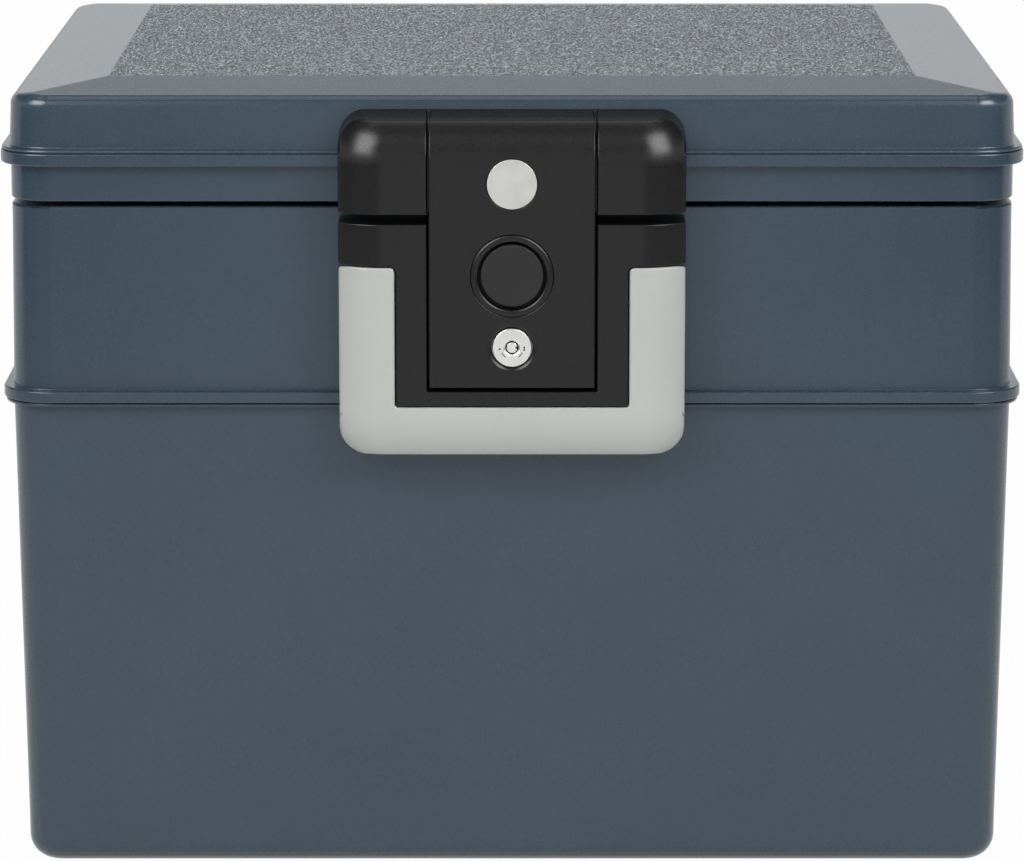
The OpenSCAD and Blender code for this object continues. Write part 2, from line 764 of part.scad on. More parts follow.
// Front outline of the frame between the arms, with fillets up to the band.
module frame_outline() {
  difference() {
    union() {
      translate([-frame_half, frame_foot]) square([2 * frame_half, band_foot + eps - frame_foot]);
      for (s = [-1, 1]) corner_waste([s * frame_half, band_foot], arm_corner_r + band_gap, -s, 1);
    }
    for (s = [-1, 1]) corner_waste([s * frame_half, frame_foot], grip_corner_r - arm_gap, s, -1);
  }
}

module latch_base() {
  rib = 2.5;
  color("#2c2c2e") difference() {
    union() {
      difference() {
        union() {
          latch_form(band_foot, base_top, false, false);
          along_y(face_y, -wall_y + 6) frame_outline();
        }
        box([-slot_half, face_y - eps, slot_foot], [slot_half, rear_y, base_top + eps]);
        mirrored() {
          rear_hollow(slot_half + rib, latch_half, band_foot + rib, base_top - rib);
          rear_hollow(slot_half + rib, frame_half - rib, frame_foot + rib, band_foot - rib);
          rear_hollow(-eps, slot_half - rib, frame_foot + rib, slot_foot - rib);
        }
      }
      mirrored() rod_x(handle_pin_r + 2.5, slot_half + 0.5, frame_half, pivot_y + 1, pivot_z);
      for (p = base_screw_at) rod_y(4, skin_y - eps, -wall_y + 6, p[1], p[0]);
    }
    front_of_case();
    mirrored() rod_x(handle_pin_r + run, frame_half - pin_in_frame, frame_half + eps, pivot_y, pivot_z);
    for (p = base_screw_at) rod_y(screw_r, -wall_y - 12, 0, p[1], p[0]);
    for (p = keeper_screw_at) rod_y(screw_r, rear_y - eps, 0, p[1], p[0]);
  }
}

module latch_base_screws() {
  color("silver") for (p = base_screw_at) 
    screw_y(p[0], -wall_y + wall_seat, p[1], -1, wall_screw_l, 2.4, 1.6);
}

// Sprung-steel plate in the base: the striker over the hook and the ledge over the lock cam.
module keeper_plate() {
  color("silver") difference() {
    union() {
      box([-keeper_half, keeper_y, ledge_z - 6], [keeper_half, rear_y, striker_z + 1.5]);
      box([-hook_half, striker_front, striker_z], [hook_half, keeper_y + eps, striker_z + 1.5]);
      box([-ledge_x - ledge_w, ledge_front, ledge_z], [-ledge_x, keeper_y + eps, ledge_z + 1.5]);
    }
    for (p = keeper_screw_at) rod_y(screw_r + 0.1, keeper_y - eps, rear_y + eps, p[1], p[0]);
  }
}

module keeper_screws() {
  color("silver") for (p = keeper_screw_at) screw_y(p[0], keeper_y, p[1], 1, keeper_screw_l, 2, 1.1);
}

// Front outline of the opening between the arms, which rounds their inner corners.
module handle_opening() {
  low = handle_foot + grip_h;
  difference() {
    translate([-arm_in, low]) square([2 * arm_in, handle_top - low + eps]);
    for (s = [-1, 1]) corner_waste([s * arm_in, low], grip_corner_r, s, -1);
  }
  for (s = [-1, 1]) corner_waste([s * arm_in, handle_top], arm_corner_r, -s, 1);
}

module carry_handle() {
  back = face_y + handle_t;
  color("#c2c4c2") difference() {
    intersection() {
      latch_form(handle_foot, handle_top, false, true);
      along_x(-latch_w, latch_w) difference() {
        translate([face_y, handle_foot]) square([handle_t, handle_h]);
        corner_waste([back, handle_foot], grip_r, 1, -1);
        difference() {
          translate([pivot_y, pivot_z]) square(2 * pivot_down);
          translate([pivot_y, pivot_z]) circle(pivot_down);
        }
      }
    }
    along_y(face_y - eps, back + eps) handle_opening();
    mirrored() rod_x(handle_pin_r, arm_in - eps, arm_in + pin_in_arm, pivot_y, pivot_z);
  }
}

module handle_pins() {
  color("silver") mirrored()
    rod_x(handle_pin_r, frame_half - pin_in_frame + clear, arm_in + pin_in_arm, pivot_y, pivot_z);
}

// ---- latch housing and centre plate, on the lid ----

plate_screw_at = [[-22, lid_z + 6.5], [22, lid_z + 6.5], [-22, dome_top], [22, dome_top]];
cover_screw_at = [[-27, plate_foot + 7], [27, plate_foot + 7], [-27, shoulder_z - 7], [27, shoulder_z - 7]];
plate_head = 4;

// What a slot of a given depth takes out of the face of the housing.
module slot_waste(x0, x1, deep) {
  along_x(x0, x1) difference() {
    translate([face_y - eps, shoulder_z - eps]) square([latch_out, lid_h]);
    behind_face(deep);
  }
}

module latch_housing() {
  side = slot_half + 2.5;
  color("#2c2c2e") difference() {
    union() {
      difference() {
        latch_form(shoulder_z, latch_top, true, false);
        mirrored() rear_hollow(side, latch_half, shoulder_z + 2.5, latch_top, true);
        rear_hollow(-side - eps, side + eps, shoulder_z + 2.5, latch_top, true, 2 * latch_t);
      }
      intersection() {
        latch_form(shoulder_z, latch_top, true, false);
        for (p = housing_screw_at) rod_y(4, skin_y - eps, -wall_y + 6, p[1], p[0]);
      }
    }
    slot_waste(-slot_half, slot_half, latch_t);
    mirrored() slot_waste(plate_half - 0.5, slot_half, 1.6 * latch_t);
    front_of_case();
    for (p = housing_screw_at) rod_y(screw_r, -wall_y - 12, 0, p[1], p[0]);
    for (p = plate_screw_at) {
      rod_y(3.6, face_y, 0, p[1], p[0]);
      rod_y(plate_head * small_r + clear, recess_y, 0, p[1], p[0]);
    }
  }
}

module housing_screws() {
  color("silver") {
    for (p = low_screws()) screw_y(p[0], -wall_y + frame_seat, p[1], -1, frame_screw_l, 2.4, 1.6);
    for (p = high_screws()) screw_y(p[0], -wall_y + wall_seat, p[1], -1, wall_screw_l, 2.4, 1.6);
  }
}

module latch_plate() {
  color("#2c2c2e") difference() {
    union() {
      along_x(-plate_half, plate_half) intersection() {
        difference() {
          behind_face(0);
          behind_face(latch_t);
        }
        translate([face_y, plate_foot]) square([curve_r, lid_h + plate_drop]);
      }
      difference() {
        box([-plate_half, skin_y - eps, plate_foot], [plate_half, cover_y, shoulder_z - 0.3]);
        box([-plate_half + 2.5, skin_y - 2 * eps, plate_foot + 2.5],
          [plate_half - 2.5, cover_y + eps, shoulder_z - 2.8]);
      }
      rod_y(guide_r + 2, skin_y - eps, cover_y, button_z);
      rod_y(barrel_r + 2, skin_y - eps, cover_y, lock_z);
      for (p = plate_screw_at) rod_y(3.5, skin_y - eps, recess_y - 0.2, p[1], p[0]);
      for (p = cover_screw_at) rod_y(3.2, skin_y - eps, cover_y, p[1], p[0]);
    }
    rod_y(bezel_r, face_y - eps, skin_y + eps, button_z);
    rod_y(guide_r, skin_y, cover_y + eps, button_z);
    rod_y(lock_r + 0.4, face_y - eps, skin_y + eps, lock_z);
    dish(dish_r, lock_r + 0.4, face_y, dish_deep, lock_z);
    rod_y(barrel_r, skin_y, cover_y + eps, lock_z);
    rod_y(badge_r + 0.3, face_y - eps, face_y + 0.8, lid_z + badge_up);
    top_waste(0);
    for (p = plate_screw_at) rod_y(small_r, face_y + 1.5, recess_y, p[1], p[0]);
    for (p = cover_screw_at) rod_y(small_r, face_y + 2, cover_y + eps, p[1], p[0]);
  }
}

module plate_screws() {
  color("silver") for (p = plate_screw_at) screw_y(p[0], recess_y, p[1], -1, plate_screw_l, plate_head, 1.5, small_r);
}

module badge_disc() {
  color("#d0d2cd") rod_y(badge_r, face_y - 0.2, face_y + 0.8, lid_z + badge_up);
}

// Ring with a crowned face and a flange behind the plate.
module button_bezel() {
  color("#2c2c2e") translate([0, skin_y + 1, button_z]) rotate([90, 0, 0]) rotate_extrude() {
    translate([bezel_in, 0]) square([bezel_flange_r - bezel_in, 1]);
    intersection() {
      translate([bezel_in, 0]) square([bezel_r - bezel_in, bezel_h]);
      translate([(bezel_in + bezel_r) / 2, bezel_h - bezel_crown_r]) {
        circle(bezel_crown_r);
        translate([-bezel_crown_r, -bezel_h]) square([2 * bezel_crown_r, bezel_h]);
      }
    }
  }
}

module push_button() {
  color("#2c2c2e") difference() {
    union() {
      rod_y(button_r, cap_face, cap_flange_y + eps, button_z);
      rod_y(bezel_flange_r, cap_flange_y, cap_flange_y + cap_flange_t, button_z);
      rod_y(pusher_r, cap_face + cap_wall - eps, pusher_end, pusher_z);
    }
    difference() {
      rod_y(cap_bore_r, cap_face + cap_wall, cap_flange_y + 2 * cap_flange_t, button_z);
      rod_y(pusher_r, cap_face, cap_flange_y + 3 * cap_flange_t, pusher_z);
    }
  }
}

// A ring of a round wire about the point at angle a of the spring.
function wire_ring(a, y, sides) = [for (k = [0:sides - 1])
  let (r = spring_r + spring_wire * cos(360 * k / sides))
  [r * cos(a), y + spring_wire * sin(360 * k / sides), r * sin(a)]];

module button_spring() {
  sides = 6;
  steps = 16 * spring_turns;
  y0 = cap_face + cap_wall + spring_wire;
  y1 = cover_y - spring_wire;
  points = [for (i = [0:steps])
    each wire_ring(360 * spring_turns * i / steps, y0 + (y1 - y0) * i / steps, sides)];
  sides_faces = [for (i = [0:steps - 1], k = [0:sides - 1])
    let (a = i * sides + k, b = i * sides + (k + 1) % sides)
      each [[a, b, b + sides], [a, b + sides, a + sides]]];
  first = [for (k = [1:sides - 2]) [0, k + 1, k]];
  last = [for (k = [1:sides - 2]) [steps * sides, steps * sides + k, steps * sides + k + 1]];
  color("silver") translate([0, 0, button_z]) polyhedron(points, concat(sides_faces, first, last));
}

module mechanism_cover() {
  color("#2c2c2e") difference() {
    union() {
      box([-plate_half, cover_y, plate_foot], [plate_half, cover_back, shoulder_z - 0.3]);
      mirrored() along_x(ear_x, ear_x + ear_t) difference() {
        translate([cover_back - eps, hook_z - 4.5]) square([hook_y + 2.2 - cover_back + eps, 9]);
        corner_waste([hook_y + 2.2, hook_z + 4.5], 2, 1, 1);
        corner_waste([hook_y + 2.2, hook_z - 4.5], 2, 1, -1);
      }
    }
    rod_y(nose_r + 0.05, cover_y - eps, cover_back + eps, lock_z);
    rod_y(pusher_r + 0.3, cover_y - eps, cover_back + eps, pusher_z);
    box([-hook_half - 0.5, cover_y - eps, hook_z + 5.5], [hook_half + 0.5, cover_back + eps, nose_top + 0.6]);
    rod_x(hook_pin_r, -2 * ear_x, 2 * ear_x, hook_y, hook_z);
    for (p = cover_screw_at) rod_y(small_r + 0.15, cover_y - eps, cover_back + eps, p[1], p[0]);
  }
}

module cover_screws() {
  color("silver") for (p = cover_screw_at)
    screw_y(p[0], cover_back, p[1], -1, cover_screw_l, 2.3, 1.25, small_r);
}

module hook_pin() {
  color("silver") rod_x(hook_pin_r, -ear_x - ear_t, ear_x + ear_t, hook_y, hook_z);
}

module release_hook() {
  color("silver") difference() {
    union() {
      box([-hook_half, hook_face, hook_foot], [hook_half, hook_face + hook_t, nose_top]);
      along_x(-hook_half, hook_half) polygon([[hook_face, nose_top - 5], [hook_face + hook_t, nose_top - 5],
        [nose_y, nose_top - 2], [nose_y, nose_top], [hook_face, nose_top]]);
      rod_x(hook_boss_r, -hook_half, hook_half, hook_y, hook_z);
    }
    rod_x(hook_pin_r + run, -2 * hook_half, 2 * hook_half, hook_y, hook_z);
  }
}

// ---- key lock ----

module lock_barrel() {
  color("silver") difference() {
    union() {
      rod_y(lock_r, lock_face, skin_y + eps, lock_z);
      rod_y(barrel_r, skin_y, cover_y, lock_z);
      rod_y(nose_r, cover_y - eps, cover_back + 0.5, lock_z);
    }
    rod_y(keyway_r, lock_face - eps, cover_back + 2, lock_z);
    dish(mouth_r, keyway_r, lock_face, mouth_deep, lock_z);
  }
}

module lock_rotor() {
  body_y = lock_face + keyway_deep;
  color("silver") difference() {
    union() {
      rod_y(post_r, lock_face + 0.2, body_y + eps, lock_z);
      rod_y(keyway_r - run, body_y, rotor_end, lock_z);
    }
    rod_y(fine_r, rotor_end - cam_screw_l, rotor_end + eps, lock_z);
  }
}

// The cam hangs down when unlocked and turns sideways under the ledge of the keeper.
module lock_cam() {
  color("silver") along_y(rotor_end, rotor_end + cam_t) difference() {
    union() {
      translate([0, lock_z]) circle(cam_half + 1);
      translate([-cam_half, lock_z - cam_l + cam_half]) square([2 * cam_half, cam_l - cam_half]);
      translate([0, lock_z - cam_l + cam_half]) circle(cam_half);
    }
    translate([0, lock_z]) circle(fine_r + 0.1);
  }
}

module cam_screw() {
  color("silver") screw_y(0, rotor_end + cam_t, lock_z, -1, cam_screw_l, 2.6, 1.3, fine_r);
}

lower_tub();
upper_collar();
inner_liner();
body_insulation();
fill_plugs();
latch_base();
latch_base_screws();
keeper_plate();
keeper_screws();
hinge_bases();
hinge_base_screws();
hinge_pins();
lid_shell();
lid_frame();
lid_pan();
lid_insulation();
lid_seal();
hinge_straps();
hinge_strap_screws();
latch_housing();
housing_screws();
latch_plate();
plate_screws();
badge_disc();
button_bezel();
mechanism_cover();
cover_screws();
hook_pin();
lock_barrel();
carry_handle();
handle_pins();
push_button();
button_spring();
release_hook();
lock_rotor();
lock_cam();
cam_screw();
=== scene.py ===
"""Looks of the fire-resistant document chest.

Soft edges and finishes for the CAD nodes, a copy of the button's spring, the marks on the lock, and the
studio."""

import json
import math

import bmesh
import bpy
import numpy as np
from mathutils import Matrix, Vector


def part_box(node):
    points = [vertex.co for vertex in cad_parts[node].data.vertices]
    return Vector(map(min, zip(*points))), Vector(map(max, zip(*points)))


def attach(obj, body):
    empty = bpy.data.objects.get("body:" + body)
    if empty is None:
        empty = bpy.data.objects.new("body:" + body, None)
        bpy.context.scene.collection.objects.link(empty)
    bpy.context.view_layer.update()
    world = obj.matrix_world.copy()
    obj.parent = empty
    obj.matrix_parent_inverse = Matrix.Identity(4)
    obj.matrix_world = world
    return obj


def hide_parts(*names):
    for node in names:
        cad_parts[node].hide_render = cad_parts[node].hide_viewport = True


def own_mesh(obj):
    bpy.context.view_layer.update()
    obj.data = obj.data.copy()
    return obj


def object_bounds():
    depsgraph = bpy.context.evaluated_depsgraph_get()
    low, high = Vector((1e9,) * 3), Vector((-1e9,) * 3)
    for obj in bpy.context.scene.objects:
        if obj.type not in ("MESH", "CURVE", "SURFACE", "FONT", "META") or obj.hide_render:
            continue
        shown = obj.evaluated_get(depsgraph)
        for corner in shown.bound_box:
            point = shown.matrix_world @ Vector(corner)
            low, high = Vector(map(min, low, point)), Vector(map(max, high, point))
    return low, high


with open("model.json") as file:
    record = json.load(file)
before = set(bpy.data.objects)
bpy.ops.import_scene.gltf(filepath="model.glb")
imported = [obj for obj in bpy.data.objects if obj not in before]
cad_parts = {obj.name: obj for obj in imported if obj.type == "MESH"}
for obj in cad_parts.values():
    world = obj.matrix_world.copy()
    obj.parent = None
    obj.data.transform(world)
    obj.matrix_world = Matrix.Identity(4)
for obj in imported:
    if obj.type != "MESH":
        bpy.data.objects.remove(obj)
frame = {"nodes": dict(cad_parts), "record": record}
cad_low, cad_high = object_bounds()
nodes = frame["nodes"]
MM = 0.001


def srgb(red, green, blue):
    """Linear colour of an 8-bit sRGB one."""
    parts = [c / 255 for c in (red, green, blue)]
    return tuple(p / 12.92 if p < 0.04045 else ((p + 0.055) / 1.055) ** 2.4 for p in parts) + (1.0,)


def add_object(name, data):
    """Puts a mesh, a lamp or a camera into the scene."""
    made = bpy.data.objects.new(name, data)
    bpy.context.scene.collection.objects.link(made)
    return made


# ---- materials as node trees ----


class Finish:
    """A material and short calls for the nodes that the finishes share."""

    def __init__(self, name):
        self.material = bpy.data.materials.new(name)
        self.material.use_nodes = True
        self.tree = self.material.node_tree
        self.bsdf = self.tree.nodes["Principled BSDF"]
        self.place = self.node("ShaderNodeTexCoord").outputs["Object"]

    def node(self, kind, inputs=None, **settings):
        """A node with its settings; an input is a socket to link or a value."""
        made = self.tree.nodes.new(kind)
        for key, value in settings.items():
            setattr(made, key, value)
        for key, value in (inputs or {}).items():
            if isinstance(value, bpy.types.NodeSocket):
                self.tree.links.new(value, made.inputs[key])
            else:
                made.inputs[key].default_value = value
        return made

    def set(self, **values):
        """Constants on the shader's own sockets; an underscore in a name stands for a space."""
        for key, value in values.items():
            self.bsdf.inputs[key.replace("_", " ")].default_value = value

    def link(self, socket, name):
        self.tree.links.new(socket, self.bsdf.inputs[name])

    def math(self, operation, first, second=0.0):
        return self.node("ShaderNodeMath", {0: first, 1: second}, operation=operation).outputs[0]

    def along(self, axis):
        """The place along one axis of the object."""
        return self.node("ShaderNodeSeparateXYZ", {0: self.place}).outputs[axis]

    def noise(self, size, detail, stretch=(1, 1, 1)):
        """Noise between 0 and 1 whose lumps are about size across, longer along a stretched axis."""
        scaled = self.node(
            "ShaderNodeVectorMath",
            {0: self.place, 1: tuple(1 / s for s in stretch)},
            operation="MULTIPLY",
        ).outputs[0]
        made = self.node("ShaderNodeTexNoise", {"Vector": scaled, "Scale": 1 / size, "Detail": detail})
        return made.outputs["Fac"]

    def spread(self, factor, low, high, from_low=0.3, from_high=0.7):
        """Maps a factor to a range of numbers; most of a noise lies between 0.3 and 0.7."""
        return self.node(
            "ShaderNodeMapRange",
            {
                "Value": factor,
                "From Min": from_low,
                "From Max": from_high,
                "To Min": low,
                "To Max": high,
            },
        ).outputs[0]

    def blend(self, factor, low, high):
        """A colour between two, each a colour or a socket."""
        return self.node(
            "ShaderNodeMix", {0: factor, 6: low, 7: high}, data_type="RGBA"
        ).outputs[2]

    def vary(self, colour, factor, share):
        """A colour that strays by a share to its darker and lighter neighbours."""
        dark = tuple(c * (1 - share) for c in colour[:3]) + (1.0,)
        light = tuple(c * (1 + share) for c in colour[:3]) + (1.0,)
        return self.blend(self.spread(factor, 0.0, 1.0), dark, light)

    def relief(self, *layers):
        """Bump from layers of (height 0 to 1, depth in metres)."""
        normal = None
        for height, depth in layers:
            inputs = {"Height": height, "Distance": depth, "Strength": 1.0}
            if normal is not None:
                inputs["Normal"] = normal
            normal = self.node("ShaderNodeBump", inputs).outputs["Normal"]
        self.link(normal, "Normal")


# ---- finishes ----

# Moulded plastic: slow clouds of tone and sink marks, and fine pores that stray in roughness.
CLOUD_SIZE = 45 * MM
CLOUD_DEPTH = 0.06 * MM
PORE_SIZE = 0.7 * MM
PORE_GLOSS = 0.04
TINT = 0.05

CASE = srgb(52, 69, 83)
CASE_ROUGH = 0.25
CASE_PORES = 0.004 * MM

# The grained panel on the lid: half its size in X and Y, its soft border, and the heights below the top
# between which it fades in.
PANEL_HALF = (165.3 * MM, 124.3 * MM)
PANEL_BORDER = 0.6 * MM
PANEL_BELOW = (0.15 * MM, 0.05 * MM)
GRAIN_SIZE = 0.85 * MM
GRAIN_STRETCH = (1, 3, 1)
GRAIN_SPAN = (0.38, 0.62)
GRAIN_DEPTH = 1.5 * MM
GRAIN_ROUGH = (0.48, 0.2)
# The grain itself is real; its dark colour is painted shade in the grain's hollows and its light colour a
# painted sheen on its peaks, both away from the case plastic's own colour.
GRAIN_SHADE_AND_SHEEN = (srgb(25, 37, 47), srgb(110, 130, 145))

# Metal: polishing lines and slow changes of tone.
LINE_SIZE = 0.25 * MM
LINE_DEPTH = 0.004 * MM
LINE_GLOSS = 0.07
METAL_CLOUD_SIZE = 9 * MM
METAL_TINT = 0.06


def moulded(name, colour, roughness, grain=PORE_SIZE, depth=0.012 * MM, tint=TINT, shine=0.5):
    """Moulded plastic with a fine grain, slow sink marks and slight changes of tone."""
    finish = Finish(name)
    finish.set(Specular_IOR_Level=shine)
    clouds = finish.noise(CLOUD_SIZE, 3)
    pores = finish.noise(grain, 3)
    finish.link(finish.vary(colour, clouds, tint), "Base Color")
    finish.link(finish.spread(pores, roughness - PORE_GLOSS, roughness + PORE_GLOSS), "Roughness")
    finish.relief((clouds, CLOUD_DEPTH), (pores, depth))
    return finish


def grained_panel(finish):
    """1 on the flat panel of the lid, 0 elsewhere."""
    panel = finish.spread(
        finish.along(2), 0.0, 1.0, cad_high.z - PANEL_BELOW[0], cad_high.z - PANEL_BELOW[1]
    )
    for axis, half in enumerate(PANEL_HALF):
        away = finish.math("ABSOLUTE", finish.along(axis))
        near = finish.spread(away, 1.0, 0.0, half - PANEL_BORDER, half)
        panel = finish.math("MULTIPLY", near, panel)
    return panel


def case_top():
    """The case plastic with the sparked grain of the flat panel on top; the grain's colours are painted
    shade in its hollows and a painted sheen on its peaks.
    """
    finish = Finish("case_top")
    finish.set(IOR=1.5)
    clouds = finish.noise(CLOUD_SIZE, 3)
    pores = finish.noise(PORE_SIZE, 3)
    sparks = finish.spread(finish.noise(GRAIN_SIZE, 4, GRAIN_STRETCH), 0.0, 1.0, *GRAIN_SPAN)
    panel = grained_panel(finish)
    plain = finish.vary(CASE, clouds, TINT)
    # Painted shade in the grain's hollows and a painted sheen on its peaks, following the same noise as the
    # bump.
    grain_shade_and_sheen = finish.blend(sparks, *GRAIN_SHADE_AND_SHEEN)
    finish.link(finish.blend(panel, plain, grain_shade_and_sheen), "Base Color")
    smooth = finish.spread(pores, CASE_ROUGH - PORE_GLOSS, CASE_ROUGH + PORE_GLOSS)
    rough = finish.spread(sparks, *GRAIN_ROUGH, 0.0, 1.0)
    mixed = finish.node("ShaderNodeMix", {0: panel, 2: smooth, 3: rough}).outputs[0]
    finish.link(mixed, "Roughness")
    finish.relief(
        (clouds, CLOUD_DEPTH),
        (pores, CASE_PORES),
        (finish.math("MULTIPLY", sparks, panel), GRAIN_DEPTH),
    )
    return finish


def metal(name, colour, roughness, stretch=(1, 1, 1)):
    """Plated or bright metal with faint polishing lines."""
    finish = Finish(name)
    finish.set(Metallic=1.0)
    lines = finish.noise(LINE_SIZE, 3, stretch)
    clouds = finish.noise(METAL_CLOUD_SIZE, 2)
    finish.link(finish.vary(colour, clouds, METAL_TINT), "Base Color")
    finish.link(finish.spread(lines, roughness - LINE_GLOSS, roughness + LINE_GLOSS), "Roughness")
    finish.relief((lines, LINE_DEPTH))
    return finish


def mineral(name):
    """Foamed mineral fill: chalky, pitted and slightly uneven in tone."""
    finish = Finish(name)
    finish.set(Roughness=0.95)
    pits = finish.noise(3 * MM, 6)
    clouds = finish.noise(40 * MM, 4)
    finish.link(finish.vary(srgb(205, 203, 196), clouds, 0.08), "Base Color")
    finish.relief((clouds, 0.5 * MM), (pits, 0.6 * MM))
    return finish


def rubber(name):
    """Dull black rubber with fine pores."""
    finish = Finish(name)
    finish.set(IOR=1.45)
    pores = finish.noise(0.5 * MM, 3)
    finish.link(finish.vary(srgb(34, 34, 35), pores, 0.12), "Base Color")
    finish.link(finish.spread(pores, 0.7, 0.85), "Roughness")
    finish.relief((pores, 0.02 * MM))
    return finish


# Each material slot of the record, and the ink of the marks, which also paints the shade in the keyway's
# notch.
FINISHES = {
    "case": moulded("case", CASE, CASE_ROUGH, depth=CASE_PORES),
    "liner": moulded("liner", srgb(112, 116, 121), 0.5, depth=0.02 * MM),
    "insulation": mineral("insulation"),
    "latch_black": moulded(
        "latch_black", srgb(21, 21, 22), 0.29, grain=0.5 * MM, depth=0.003 * MM, shine=0.33
    ),
    "button_black": moulded(
        "button_black", srgb(38, 38, 39), 0.6, grain=0.45 * MM, depth=0.05 * MM, tint=0.1, shine=0.22
    ),
    "hinge_black": moulded("hinge_black", srgb(46, 49, 54), 0.42, grain=0.5 * MM),
    "handle_grey": moulded("handle_grey", srgb(190, 192, 188), 0.36, tint=0.02, depth=0.006 * MM),
    "badge": metal("badge", srgb(208, 209, 204), 0.38, stretch=(12, 1, 1)),
    "lock_metal": metal("lock_metal", srgb(225, 225, 222), 0.34),
    "steel": metal("steel", srgb(190, 191, 192), 0.3),
    "seal_rubber": rubber("seal_rubber"),
    "ink_and_notch_shade": moulded("ink_and_notch_shade", srgb(30, 31, 32), 0.6, grain=0.3 * MM),
}
CASE_TOP = case_top()


# ---- soft edges on the CAD nodes ----

# Widths of the bevels, by node.
EDGE = 0.5 * MM
SCREW_EDGE = 0.25 * MM
EDGE_OF = {
    "lid_shell": 0.8 * MM,
    "lower_tub": 0.4 * MM,
    "upper_collar": 0.4 * MM,
    "carry_handle": 0.9 * MM,
    "lid_frame": 0.3 * MM,
    "latch_plate": 0.7 * MM,
    "latch_housing": 0.7 * MM,
    "button_spring": 0.0,
    "badge_disc": 0.15 * MM,
    "button_bezel": 0.4 * MM,
    "push_button": 0.7 * MM,
    "lock_barrel": 0.25 * MM,
    "lock_rotor": 0.2 * MM,
    "hook_pin": 0.2 * MM,
    "body_insulation": 0.0,
    "lid_insulation": 0.0,
}
EDGE_STEPS = 3

# Angles in degrees from which an edge counts as a crease.
CREASE = 2
CREASE_OF = {
    "lid_shell": 3,
    "latch_housing": 14,
    "latch_plate": 14,
    "latch_base": 8,
    "carry_handle": 14,
}

# The edges along the two seams of the shells are fine.
SEAM_EDGE = 0.18 * MM
SEAM_REACH = 0.6 * MM
SEAM_PIECES = {"lid_shell", "lid_frame", "upper_collar", "lower_tub"}
SEAMS = (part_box("lid_shell")[0].z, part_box("lower_tub")[1].z)

# Beyond these places in X, Y and Z the rounded corners of a node get no bevel.
CORNERS = {
    "lid_shell": (184 * MM, 143 * MM, 312 * MM),
    "latch_housing": (57.5 * MM, 0.0, 300 * MM),
}

# The wall of the lid's top shell, from its lip to its roof, gets none either.
SHELL_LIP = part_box("lid_shell")[0].z + 5 * MM
ROOF_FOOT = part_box("lid_shell")[1].z - 6.5 * MM

# Only the level top edge of the latch gets its full width.
CREST_PIECES = {"latch_housing", "latch_plate"}
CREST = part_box("latch_plate")[1].z - 4 * MM
SIDE_SHARE = 0.6

WELD_REACH = 0.002 * MM
FLAT_ANGLE = 0.3


def edge_share(name, width, start, end):
    """Share of a node's edge width that the edge between two places gets."""
    middle = (start + end) / 2
    if name in CORNERS:
        x, y, z = CORNERS[name]
        if abs(middle.x) > x and abs(middle.y) > y and middle.z > z:
            return 0.0
    if name == "lid_shell" and SHELL_LIP < middle.z < ROOF_FOOT:
        return 0.0
    if name in SEAM_PIECES and any(abs(middle.z - seam) < SEAM_REACH for seam in SEAMS):
        return SEAM_EDGE / width
    if name in CREST_PIECES and (middle.z < CREST or abs(start.z - end.z) > MM):
        return SIDE_SHARE
    return 1.0


def mark_creases(name, mesh, width):
    """Gives each edge where two faces meet at an angle its bevel weight.

    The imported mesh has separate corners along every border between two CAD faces, so such an edge is
    there twice, each time with one face."""
    count = np.zeros(len(mesh.edges), int)
    face_of = {}
    normal_at = {}
    for polygon in mesh.polygons:
        for i in polygon.loop_indices:
            loop = mesh.loops[i]
            count[loop.edge_index] += 1
            face_of[loop.edge_index] = polygon.index
            normal_at[(polygon.index, loop.vertex_index)] = mesh.corner_normals[i].vector
    sides = {}
    for edge in mesh.edges:
        if count[edge.index] != 1:
            continue
        ends = [mesh.vertices[v].co for v in edge.vertices]
        key = frozenset(tuple(round(c, 6) for c in end) for end in ends)
        normals = [Vector(normal_at[(face_of[edge.index], v)]) for v in edge.vertices]
        sides.setdefault(key, []).append((edge.index, sum(normals, Vector()).normalized()))
    crease = math.cos(math.radians(CREASE_OF.get(name, CREASE)))
    weights = np.zeros(len(mesh.edges), np.float32)
    for pair in sides.values():
        if len(pair) == 2 and pair[0][1].dot(pair[1][1]) < crease:
            for index, _ in pair:
                start, end = (mesh.vertices[v].co for v in mesh.edges[index].vertices)
                weights[index] = edge_share(name, width, start, end)
    marks = mesh.attributes.new("bevel_weight_edge", "FLOAT", "EDGE")
    marks.data.foreach_set("value", weights)


def soften(name, piece, width):
    """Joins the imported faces, rounds the creases and shades flat faces flat."""
    if width > 0:
        mark_creases(name, piece.data, width)
    weld = piece.modifiers.new("weld", "WELD")
    weld.merge_threshold = WELD_REACH
    if width > 0:
        merge = piece.modifiers.new("whole_faces", "DECIMATE")
        merge.decimate_type = "DISSOLVE"
        merge.angle_limit = math.radians(FLAT_ANGLE)
        bevel = piece.modifiers.new("edges", "BEVEL")
        bevel.width = width
        bevel.segments = EDGE_STEPS
        bevel.limit_method = "WEIGHT"
        bevel.use_clamp_overlap = False
    shade = piece.modifiers.new("shading", "WEIGHTED_NORMAL")
    shade.keep_sharp = False


def finish_nodes():
    """Gives every CAD node the finish of its slot and its soft edges."""
    slots = {part["node"]: part["material_slot"] for part in frame["record"]["subparts"]}
    for name, piece in nodes.items():
        finish = CASE_TOP if name == "lid_shell" else FINISHES[slots[name]]
        piece.data.materials.clear()
        piece.data.materials.append(finish.material)
        piece.data.polygons.foreach_set("use_smooth", [True] * len(piece.data.polygons))
        soften(name, piece, SCREW_EDGE if "screw" in name else EDGE_OF.get(name, EDGE))


finish_nodes()


# ---- spring behind the button ----


def add_spring():
    """The spring of the button, as a copy of its CAD node that rides with the lid in the node's place."""
    spring = add_object("coil_spring", nodes["button_spring"].data.copy())
    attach(spring, "lid")
    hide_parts("button_spring")
    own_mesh(spring)


add_spring()


# ---- marks on the lock face ----

MARK_PROUD = 0.02 * MM
MARK_DEPTH = 0.06 * MM

